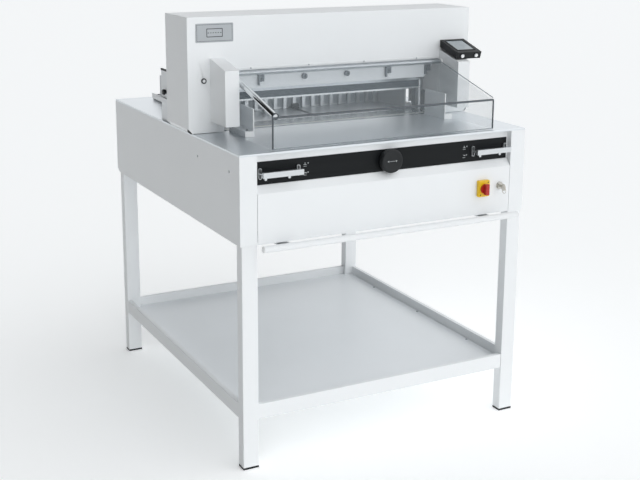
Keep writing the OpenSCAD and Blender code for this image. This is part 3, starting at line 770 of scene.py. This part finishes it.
@dataclass
class CuttingGear:
    """The knife, the clamp, the bed and what moves them.

    Attributes:
        clips: x of the bent clips over the knife bolts.
        bolt: front face of the carrier and the bolts' height above the table.
        clamp: half width, front face and underside of the clamp.
    """

    clips: Point = (-262, 197, 350)
    bolt: Point = (362, 155)
    clamp: Point = (341, 396, 84)

    def dress(self) -> None:
        """Dresses the cutting gear's nodes."""
        dress("bed", Look.BED, 1.0)
        dress("cutting_stick", Look.STICK, 0.6)
        dress("knife_carrier", Look.CARRIER, 1.2)
        dress("knife_blade", Look.GROUND, 0.0)
        dress("knife_bolts", Look.BURNISHED, 0.8)
        dress("knife_rod", Look.GROUND, 0.5)
        dress("knife_cylinder", Look.OXIDE, 1.0)
        dress("clamp_beam", Look.CLAMP, 1.5)
        dress("clamp_rods", Look.GROUND, 0.8)
        dress("clamp_cylinders", Look.OXIDE, 1.0)

    def draw_clips(self, mesh: Mesh) -> None:
        """Draws the clips, each a strap bent over its bolt with two legs."""
        y, z = self.bolt
        strap = [(-9, -20), (-9, 13), (11, 13), (11, -8), (7, -8), (7, 8.5), (-4, 8.5), (-4, -20)]
        for x in self.clips:
            add_plate(mesh, shifted(strap, x, z), y - 9, y)

    def draw_clamp_highlight(self, mesh: Mesh) -> None:
        """Draws a bright strip along the clamp's lower front edge: a painted highlight on that edge."""
        half, y, z = self.clamp
        section = [(-0.6, -0.5), (-0.6, 5), (0.3, 5), (0.3, 0.3), (20, 0.3), (20, -0.5)]
        add_rail(mesh, shifted(section, y, z), -half, half)

    def build(self) -> None:
        """Makes the clips and the painted highlight strip on the clamp."""
        Workshop("knife").make("knife_bolt_clips", Look.BURNISHED, self.draw_clips, 0.6)
        Workshop("clamp").make("clamp_edge_highlight", Look.ANODISED, self.draw_clamp_highlight, 0.1)


@dataclass
class BackGauge:
    """The comb, its carriage, the drive and the side lays.

    Attributes:
        comb_screw_mm: radius of the comb screws' heads.
        pitch_mm: distance from one rib of the comb to the next.
        rib_mm: width and depth of a rib.
    """

    comb_screw_mm: float = 3.5
    pitch_mm: float = 36
    rib_mm: float = 12

    def dress(self) -> None:
        """Dresses the back gauge's nodes."""
        dress("gauge_comb", Look.ANODISED, 0.8)
        dress("gauge_carriage", Look.ANODISED, 1.0)
        dress("lead_screw", Look.GROUND, 0.4)
        dress("gauge_guides", Look.GROUND, 0.5)
        dress("gauge_motor", Look.OXIDE, 1.5)
        dress("motor_pulley", Look.ANODISED, 0.4)
        dress("drive_belt", Look.BELT, 0.2)
        dress("side_guides", Look.CARRIER, 0.8)

    def build(self) -> None:
        """Makes the comb's screws, painted shade strips and lug, and the side lays' screws and end caps."""
        comb = Box.of("gauge_comb")

        def draw_comb(mesh: Mesh) -> None:
            """Draws a row of screws on the comb's top."""
            for share in (0.06, 0.28, 0.5, 0.72, 0.94):
                x = comb.low.x + share * comb.size.x
                add_screw(mesh, (x, comb.high.y - 12 * MM, comb.high.z), Axis.Z, 1, self.comb_screw_mm)

        def draw_feet(mesh: Mesh) -> None:
            """Draws two screws on each foot."""
            for x in (-357, 357):
                for y in (252, 336, 500, 760, 1030):
                    add_screw(mesh, from_front(x, y, 18), Axis.Z, 1, 4)

        def draw_gap_shade(mesh: Mesh) -> None:
            """Draws grey strips between the comb's ribs: painted shade in the gaps."""
            count = int((comb.high.x / MM - self.rib_mm / 2) / self.pitch_mm)
            face = comb.low.y + (self.rib_mm - 0.5) * MM
            for i in range(-count, count):
                x0 = (i * self.pitch_mm + self.rib_mm / 2 + 0.4) * MM
                x1 = ((i + 1) * self.pitch_mm - self.rib_mm / 2 - 0.4) * MM
                add_box(mesh, (x0, face, comb.low.z + 5 * MM), (x1, face + 0.8 * MM, comb.high.z - 7 * MM))

        def draw_lug(mesh: Mesh) -> None:
            """Draws the pointer lug in front of the comb, over the slot."""
            section = [(636, 0.8), (636, 12), (640, 17), (649.8, 17), (649.8, 0.8)]
            add_rail(mesh, section, -13, 13)

        def draw_ends(mesh: Mesh) -> None:
            """Draws the white caps on the side lays' front ends."""
            outline = [(341, 0.8), (371, 0.8), (371, 18), (345, 18), (345, 86), (341, 86)]
            for side in (-1, 1):
                add_plate(mesh, mirrored(outline, side), 232.8, 233.9)

        gauge = Workshop("gauge")
        gauge.make("comb_screws", Look.OXIDE, draw_comb)
        # Grey strips of painted shade in the gaps between the comb's ribs
        gauge.make("comb_gap_shade_strips", Look.COMB_GAP_SHADE, draw_gap_shade)
        gauge.make("gauge_lug", Look.OXIDE, draw_lug, 0.8)
        Workshop().make("side_guide_screws", Look.OXIDE, draw_feet)
        Workshop().make("side_guide_ends", Look.BUTTON, draw_ends)


@dataclass
class Guard:
    """The clear front guard on its hinge rod.

    Attributes:
        half: half of its width.
        thick: thickness of the sheet.
        front: where its front face stands.
        low: lower edge above the table.
        knee: height at which the front turns back.
        bend: outer radius of that turn.
        hinge: y and height of the hinge's axis.
        knuckle: outer radius of the hinge tube.
        rod: radius of the rod in it.
        bead: radius of the chrome-plated tube on the left slope.
        gap: the seam between glued pieces.
        proud: how far the drawn edges stand out of the sheet.
    """

    half: float = 381
    thick: float = 5
    front: float = 20
    low: float = 3
    knee: float = 97
    bend: float = 6
    hinge: Point = (330, 179)
    knuckle: float = 9
    rod: float = 6
    bead: float = 9.5
    gap: float = 0.3
    proud: float = 0.35

    def dress(self) -> None:
        """Dresses the rod and its blocks."""
        dress("guard_rod", Look.ZINC, 0.5)
        dress("guard_blocks", Look.WHITE, 1.0)

    @property
    def slope(self) -> float:
        """The upper sheet's angle above level."""
        return math.atan2(self.hinge[1] - self.knee, self.hinge[0] - self.front)
    @property
    def slope_length(self) -> float:
        """The distance from the knee up to the hinge's axis."""
        return math.hypot(self.hinge[0] - self.front, self.hinge[1] - self.knee)

    @property
    def down(self) -> Vector:
        """The direction down the slope."""
        return Vector((0, -math.cos(self.slope), -math.sin(self.slope)))
    def turn(self, radius: float, steps: int = 10) -> Outline:
        """Returns the arc between the front and the slope, from the front up."""
        y, z = self.front + self.bend, self.knee - self.bend
        arc = []
        for i in range(steps + 1):
            angle = math.pi - i * (math.pi / 2 - self.slope) / steps
            arc.append((y + radius * math.cos(angle), z + radius * math.sin(angle)))
        return arc

    def on_slope(self, along: float, out: float) -> tuple[float, float]:
        """Returns a point on the slope.

        Args:
            along: distance in front of the hinge's axis, down the slope.
            out: distance above the sheet's middle.

        Returns:
            Its y and its height.
        """
        y, z = self.hinge
        c, s = math.cos(self.slope), math.sin(self.slope)
        return y - along * c - out * s, z - along * s + out * c

    def draw_sheet(self, mesh: Mesh) -> None:
        """Draws the bent front, the slope, the two ends and the hinge tube."""
        t, gap = self.thick, self.gap
        top = self.knee - self.bend - gap
        front = [(self.front, self.low), (self.front, top), (self.front + t, top), (self.front + t, self.low)]
        add_rail(mesh, front, -self.half, self.half)
        start = (gap * math.cos(self.slope), gap * math.sin(self.slope))
        slope = [
            *shifted([self.turn(self.bend)[-1]], *start),
            self.on_slope(self.knuckle + gap, t / 2),
            self.on_slope(self.knuckle + gap, -t / 2),
            *shifted([self.turn(self.bend - t)[-1]], *start),
        ]
        add_rail(mesh, slope, -self.half + 2 * self.bead + gap, self.half)
        y, z = self.hinge
        inner = self.turn(self.bend - t - gap)
        for side, drop in ((-1, self.bead), (1, t / 2)):
            end = [
                (self.front + t + gap, self.low),
                (self.front + t + gap, inner[0][1] + t / 2 - drop),
                (inner[-1][0], inner[-1][1] + t / 2 - drop),
                self.on_slope(self.knuckle + 3, -drop - gap),
                (y - 8, z - 40),
                (y - 22, self.low),
            ]
            add_rail(mesh, end, *sorted((side * self.half, side * (self.half - t))))
        bore, length = self.rod + gap, 2 * self.half
        wall = [(0, bore), (0, self.knuckle), (length, self.knuckle), (length, bore)]
        add_lathe(mesh, from_front(-self.half, y, z), Axis.X, wall, 32, closed=True)

    def draw_bead(self, mesh: Mesh) -> None:
        """Draws the chrome-plated tube along the left slope."""
        top = 19.5
        start = from_front(-self.half + self.bead, *self.on_slope(top, 0))
        profile = [(0, self.bead), (self.slope_length - 2 - top, self.bead)]
        add_lathe(mesh, start, self.down, profile, 28)

    def draw_bead_ring(self, mesh: Mesh) -> None:
        """Draws a dark ring at the tube's cut end: painted shade, in the dark edge material."""
        centre = from_front(-self.half + self.bead, *self.on_slope(self.slope_length - 4, 0))
        lip, bore = self.bead + 1.6, self.bead - 2.2
        wall = [(0, self.bead + 0.1), (0, lip), (4, lip), (4, bore), (2.4, bore)]
        add_lathe(mesh, centre, self.down, wall, 28, closed=True)

    def draw_edge_shade(self, mesh: Mesh) -> None:
        """Draws painted shade where the clear sheet looks dark: the long bend and the two upright ends."""
        bend = [*self.turn(self.bend), *reversed(self.turn(self.bend - self.thick))]
        add_rail(mesh, bend, -self.half, self.half)
        for side in (-1, 1):
            x0, x1 = sorted((side * (self.half + self.proud), side * (self.half - 3.2)))
            low = from_front(x0, self.front - self.proud, self.low + 1.5)
            add_box(mesh, low, from_front(x1, self.front + 3.4, self.knee - self.bend))

    def draw_edge_highlights(self, mesh: Mesh) -> None:
        """Draws painted highlights on the pale edges: the slope's right end and the lower edge of the front."""
        proud, reach = self.proud, self.knuckle + 0.5
        start = self.slope_length - self.bend
        edge = self.thick / 2 + proud
        corners = [(start, edge - 2), (start, edge), (reach, edge), (reach, edge - 2)]
        line = [self.on_slope(along, out) for along, out in corners]
        add_rail(mesh, line, self.half - 1.3, self.half + proud)
        low = from_front(-self.half, self.front - proud, self.low - proud)
        add_box(mesh, low, from_front(self.half, self.front + self.thick + proud, self.low + 1.1))

    def draw_caps(self, mesh: Mesh) -> None:
        """Draws the white caps at both ends of the hinge tube."""
        bore = self.rod + 0.4
        cap = [(0, bore), (0, 9.6), (5.5, 9.6), (7, 8.4), (7, bore)]
        for side in (-1, 1):
            start = from_front(side * (self.half + 0.4), *self.hinge)
            add_lathe(mesh, start, Axis.X, mirrored(cap, side), 32, closed=True)

    def build(self) -> None:
        """Makes the guard's pieces."""
        shop = Workshop("guard")
        shop.make("guard_clear_sheet", Look.ACRYLIC, self.draw_sheet, 0.3, ["guard_shell"])
        shop.make("guard_bead", Look.CHROME, self.draw_bead, 0.6)
        shop.make("guard_bead_ring", Look.ACRYLIC_EDGE_SHADE, self.draw_bead_ring, 0.3)
        shop.make("guard_edge_painted_highlight", Look.ACRYLIC_EDGE_HIGHLIGHT, self.draw_edge_highlights)
        shop.make("guard_edge_painted_shade", Look.ACRYLIC_EDGE_SHADE, self.draw_edge_shade)
        Workshop().make("hinge_caps", Look.BUTTON, self.draw_caps, 0.3)


@dataclass
class Controls:
    """What the operator touches: panel, bars, wheel, switch and lock.

    Attributes:
        tilt: the control panel's slope, in degrees.
        panel: x, y and height of its upper rear edge's left end.
        panel_size: its width, length and thickness.
        strip: face and middle height of the control strip.
        switch: x and height of the main switch.
        switch_size: width, height and thickness of its plate.
        lock: x and height of the lock.
    """

    tilt: float = 17
    panel: Point = (392, 347, 248)
    panel_size: Point = (94, 110, 23)
    strip: Point = (16.5, -61)
    switch: Point = (334, -179)
    switch_size: Point = (42, 52, 12)
    lock: Point = (399, -177)

    def dress(self) -> None:
        """Dresses the controls' nodes."""
        dress("panel_housing", Look.ABS, 2.5, 3)
        dress("panel_screen", Look.SCREEN, 0.3)
        for node in ("panel_button_left", "panel_button_right"):
            dress(node, Look.BUTTON, 1.2, 3)
        for node in ("press_bar_left", "press_bar_right", "bar_brackets"):
            dress(node, Look.ANODISED, 0.8)
        dress("switch_handle", Look.RED, 2.4, 4)
        dress("lock_barrel", Look.NICKEL, 0.6)
        dress("key", Look.NICKEL, 0.4)

    def on_panel(self) -> Matrix:
        """Returns the control panel's own frame: X across, Y up the slope and Z out of it."""
        lean = Matrix.Rotation(math.radians(self.tilt), 4, "X")
        return Matrix.Translation(from_front(*self.panel)) @ lean @ Matrix.Translation((0, -self.panel_size[1] * MM, 0))

    def draw_bezel(self, mesh: Mesh) -> None:
        """Draws the raised rim round the screen."""
        width, length, _ = self.panel_size
        middle = (width / 2, length / 2 + 5)
        outer, inner = (shifted(rounded(*size), *middle) for size in ((74, 84, 5), (66, 76, 3)))
        levels = [(outer, -0.4), (outer, 1.0), (inner, 1.0), (inner, -0.4)]
        rings = [[mesh.verts.new((x * MM, y * MM, z * MM)) for x, y in ring] for ring, z in levels]
        bridge(mesh, rings, closed=True)
        bmesh.ops.transform(mesh, matrix=self.on_panel(), verts=mesh.verts)

    def draw_button_rings(self, mesh: Mesh) -> None:
        """Draws the collars round the two push buttons."""
        width, _, thick = self.panel_size
        wall = [(-0.2, 6.4), (-0.2, 8.6), (-1.6, 8.2), (-1.6, 6.4)]
        for x in (20, width - 20):
            add_lathe(mesh, (x * MM, 0, -thick / 2 * MM), Axis.Y, wall, 28, closed=True)
        bmesh.ops.transform(mesh, matrix=self.on_panel(), verts=mesh.verts)

    def draw_wheel(self, mesh: Mesh) -> None:
        """Draws the handwheel: a dished face, a grooved rim and the shaft."""
        profile = [
            (-6.6, 0), (-6.6, 20), (-7.2, 26), (-8, 28.5), (-8, 32.5), (-7.2, 34.6), (-5.4, 36), (-2.4, 36),
            (-1.6, 35), (-0.8, 35), (0, 36), (3, 36), (3.8, 35), (4.6, 35), (5.4, 36), (11, 36),
            (14, 33), (14, 5), (40, 5), (40, 0),
        ]  # fmt: skip
        add_lathe(mesh, from_front(0, 0, self.strip[1]), Axis.Y, profile, 72)

    def draw_wheel_marks(self, mesh: Mesh) -> None:
        """Draws the arrows printed on the wheel: a line with a head at each end."""
        z, face, back = self.strip[1], -6.75, -6.5
        add_plate(mesh, [(-9, z - 0.6), (9, z - 0.6), (9, z + 0.6), (-9, z + 0.6)], face, back)
        for side in (-1, 1):
            add_plate(mesh, mirrored([(17, z), (11.5, z + 3), (11.5, z - 3)], side), face, back)

    def draw_strip_marks(self, mesh: Mesh) -> None:
        """Draws the printed signs beside the bars: press down, a clamp and a knife."""
        y, middle = self.strip
        arrow = [(-2.5, 3), (0, -1.5), (2.5, 3)]
        line = [(-5, 0), (5, 0), (5, 1.2), (-5, 1.2)]
        signs = (
            (arrow, 6, 15),
            ([(-5, 0), (5, 0), (5, 1.4), (-5, 1.4)], -4, 12),
            ([(-1, 1.4), (1, 1.4), (1, 7), (-1, 7)], -4, 12),
            (line, -4, 7),
            (arrow, 6, -12),
            ([(-5, 5), (5, 1), (5, 5)], -4, -15),
            (line, -4, -19),
        )
        for side in (-1, 1):
            for outline, x, z in signs:
                add_plate(mesh, shifted(outline, side * 276 + x, middle + z), y - 0.15, y + 0.05)

    def draw_switch(self, mesh: Mesh) -> None:
        """Draws the switch's plate with its raised face."""
        width, height, thick = self.switch_size
        add_plate(mesh, shifted(rounded(width, height, 4), *self.switch), 1.4 - thick, 0)
        add_plate(mesh, shifted(rounded(width - 5, height - 5, 3), *self.switch), -thick, 1.6 - thick)

    def draw_switch_screws(self, mesh: Mesh) -> None:
        """Draws the switch plate's two screws."""
        width, height, thick = self.switch_size
        x, z = self.switch
        for side in (-1, 1):
            seat = from_front(x + side * (width / 2 - 7), -thick, z + side * (height / 2 - 6.5))
            add_screw(mesh, seat, Axis.Y, -1, 2.2)

    def draw_key_ring(self, mesh: Mesh) -> None:
        """Draws the ring that hangs in the key's bow, as a wire of two turns."""
        x, z = self.lock
        centre = from_front(x, -26.5, z - 11.5)
        radius, wire, turns, around = 9.5 * MM, 0.7 * MM, 2, 8
        steps = 56
        rings = []
        for i in range(steps * turns + 1):
            a = 2 * math.pi * i / steps
            spoke = Vector((0, math.cos(a + 1.2), math.sin(a + 1.2)))
            offset = Vector(((i / (steps * turns) - 0.5) * 1.5 * MM, 0, 0))
            ring = []
            for j in range(around):
                b = 2 * math.pi * j / around
                reach = radius + wire * math.cos(b)
                ring.append(mesh.verts.new(centre + offset + spoke * reach + Vector((wire * math.sin(b), 0, 0))))
            rings.append(ring)
        bridge(mesh, rings)

    def build(self) -> None:
        """Makes the controls' pieces."""
        shop = Workshop()
        shop.make("screen_bezel", Look.ABS, self.draw_bezel, 0.4)
        shop.make("button_collars", Look.OXIDE, self.draw_button_rings, 0.2)
        shop.make("strip_marks", Look.INK, self.draw_strip_marks)
        shop.make("switch_base", Look.YELLOW, self.draw_switch, 0.8, ["switch_plate"])
        shop.make("switch_screws", Look.OXIDE, self.draw_switch_screws)
        wheel = Workshop("handwheel")
        wheel.make("handwheel_turned", Look.ABS, self.draw_wheel, 0.4, ["handwheel"])
        wheel.make("handwheel_marks", Look.INK, self.draw_wheel_marks)
        Workshop("key").make("key_ring", Look.NICKEL, self.draw_key_ring)


@dataclass
class Rear:
    """The pedal bar and the parts at the back.

    Attributes:
        shield: inner and outer face of a rear shield.
        shield_y: its front and its rear edge.
        shield_top: its top above the table.
        knob: y and height of its knob.
    """

    shield: Point = (482.5, 485.5)
    shield_y: Point = (534, 640)
    shield_top: float = 167
    knob: Point = (598, 96)

    def dress(self) -> None:
        """Dresses the pedal and the rear nodes."""
        dress("pedal", Look.WHITE, 1.2)
        dress("pedal_shaft", Look.ZINC, 0.6)
        dress("cable_gland", Look.ABS, 0.8)
        dress("rear_shields", Look.GREY, 0.8)

    def draw_trims(self, mesh: Mesh) -> None:
        """Draws the black edge trims on the shields and their knobs."""
        inner, outer = self.shield
        for side in (-1, 1):
            x0, x1 = sorted((side * (inner - 1), side * (outer + 1)))
            y0, y1 = self.shield_y
            add_box(mesh, from_front(x0, y0 + 1, self.shield_top - 5), from_front(x1, y1 + 1.2, self.shield_top + 1.2))
            start = from_front(side * outer, *self.knob)
            knob = [(-0.2, 7), (3, 7), (4.5, 9), (10, 9), (11.5, 7.5), (11.5, 0)]
            add_lathe(mesh, start, Axis.X, mirrored(knob, side), 30)

    def draw_pedal_ends(self, mesh: Mesh) -> None:
        """Draws the domed plugs in the pedal bar's ends."""
        bar = Box.of("pedal")
        radius = 10 * MM
        middle = (bar.low.y + radius, bar.high.z - radius)
        for side, x in ((-1, bar.low.x), (1, bar.high.x)):
            dome = [(-0.3, 10.4), (1.4, 10.4), (3.4, 8.6), (4.6, 5.0), (5.0, 0)]
            add_lathe(mesh, (x, *middle), Axis.X, mirrored(dome, side), 32)

    def build(self) -> None:
        """Makes the trims and the plugs."""
        Workshop().make("shield_trims", Look.ABS, self.draw_trims, 0.6)
        Workshop("pedal").make("pedal_bar_plugs", Look.BUTTON, self.draw_pedal_ends, 0.3)


# ---------------------------------------------------------------- studio


@dataclass
class Studio:
    """The camera, the surrounding light and the floor.

    Attributes:
        station: where the camera stands, in metres.
        yaw: how far it looks to the right of +Y, in degrees.
        pitch: how far it looks down, in degrees.
        roll: how far it leans, in degrees.
        focal_mm: its focal length on a 36 mm wide frame.
        rise: its vertical shift, as a share of the frame's width.
        shade: brightness of the studio's darkest side.
        key: how much brighter its wide soft light is.
        key_from: the direction that the wide light comes from.
        key_edge: cosines of the angles where it starts and where it is full.
        backdrop: brightness of the backdrop behind the machine.
        backdrop_from: the direction that the backdrop stands in.
        backdrop_edge: the same cosines for the backdrop.
        tint: the light's sRGB hex colour.
        screen: brightness of the plain pale screen that is seen beyond the floor, on every side.
    """

    station: Point = (-1.7224, -3.3671, 1.5988)
    yaw: float = 27.69
    pitch: float = 12.88
    roll: float = 0.34
    focal_mm: float = 63.84
    rise: float = -0.1
    shade: float = 0.02
    key: float = 1.45
    key_from: Point = (0.414, -0.783, 0.463)
    key_edge: Point = (0.33, 0.81)
    backdrop: float = 1.04
    backdrop_from: Point = (0.629, 0.778, 0.0)
    backdrop_edge: Point = (0.33, 0.83)
    tint: str = "#FBFDFF"
    screen: float = 1.0

    def camera(self) -> None:
        """Makes the camera."""
        data = bpy.data.cameras.new("camera")
        data.lens = self.focal_mm
        data.sensor_width = 36.0
        data.shift_y = self.rise
        yaw, pitch, roll = (math.radians(a) for a in (self.yaw, self.pitch, self.roll))
        forward = Vector((math.sin(yaw) * math.cos(pitch), math.cos(yaw) * math.cos(pitch), -math.sin(pitch)))
        right = Vector((math.cos(yaw), -math.sin(yaw), 0.0))
        up = right.cross(forward)
        right, up = right * math.cos(roll) + up * math.sin(roll), up * math.cos(roll) - right * math.sin(roll)
        camera = bpy.data.objects.new("camera", data)
        place = Matrix((right, up, -forward)).transposed().to_4x4()
        place.translation = Vector(self.station)
        camera.matrix_world = place
        bpy.context.scene.collection.objects.link(camera)
        bpy.context.scene.camera = camera

    def surroundings(self) -> bpy.types.World:
        """Returns soft light from the front right and the rear right, and the screen that is seen."""
        world = bpy.data.worlds.new("studio_light")
        world.use_nodes = True
        tree = world.node_tree
        place = add_node(tree, "ShaderNodeTexCoord")
        way = add_node(tree, "ShaderNodeVectorMath", {"operation": "NORMALIZE"}, _0=(place, "Generated"))

        def lobe(direction: Point, edge: Point, low: float, high: float) -> bpy.types.Node:
            """Returns light that rises smoothly from low to high as the view turns to a direction."""
            towards = add_node(tree, "ShaderNodeVectorMath", {"operation": "DOT_PRODUCT"}, _0=way)
            towards.inputs[1].default_value = Vector(direction).normalized()
            span = {"From_Min": edge[0], "From_Max": edge[1], "To_Min": low, "To_Max": high}
            smooth = {"interpolation_type": "SMOOTHSTEP"}
            return add_node(tree, "ShaderNodeMapRange", smooth, Value=(towards, "Value"), **span)

        wide = lobe(self.key_from, self.key_edge, self.shade, self.shade + self.key)
        rear = lobe(self.backdrop_from, self.backdrop_edge, 0.0, self.backdrop)
        total = add_node(tree, "ShaderNodeMath", {"operation": "ADD"}, _0=wide, _1=rear)
        light = tree.nodes["Background"]
        light.inputs["Color"].default_value = linear(self.tint)
        path = add_node(tree, "ShaderNodeLightPath")
        seen = add_node(
            tree, "ShaderNodeMix", {"data_type": "FLOAT"}, _0=(path, "Is Camera Ray"), _2=total, _3=self.screen
        )
        tree.links.new(seen.outputs[0], light.inputs["Strength"])
        return world

    def build(self) -> None:
        """Sets up the floor, the camera and the surrounding light."""
        scene = bpy.context.scene
        scene.view_settings.view_transform = "Standard"
        mesh = bmesh.new()
        half = 60.0
        corners = [mesh.verts.new((x, y, 0.0)) for x, y in ((-half, -half), (half, -half), (half, half), (-half, half))]
        mesh.faces.new(corners)
        data = bpy.data.meshes.new("studio_floor")
        mesh.to_mesh(data)
        mesh.free()
        floor = bpy.data.objects.new("studio_floor", data)
        scene.collection.objects.link(floor)
        data.materials.append(Look.FLOOR.material())
        scene.world = self.surroundings()
        self.camera()


def main() -> None:
    """Builds the whole model and its studio."""
    logging.basicConfig(level=logging.INFO, format="%(name)s: %(message)s")
    Studio().build()
    for assembly in (Stand(), Housing(), Head(), CuttingGear(), BackGauge(), Guard(), Controls(), Rear()):
        assembly.dress()
        assembly.build()
        LOG.info("%s is done", type(assembly).__name__)


if __name__ == "__main__":
    main()
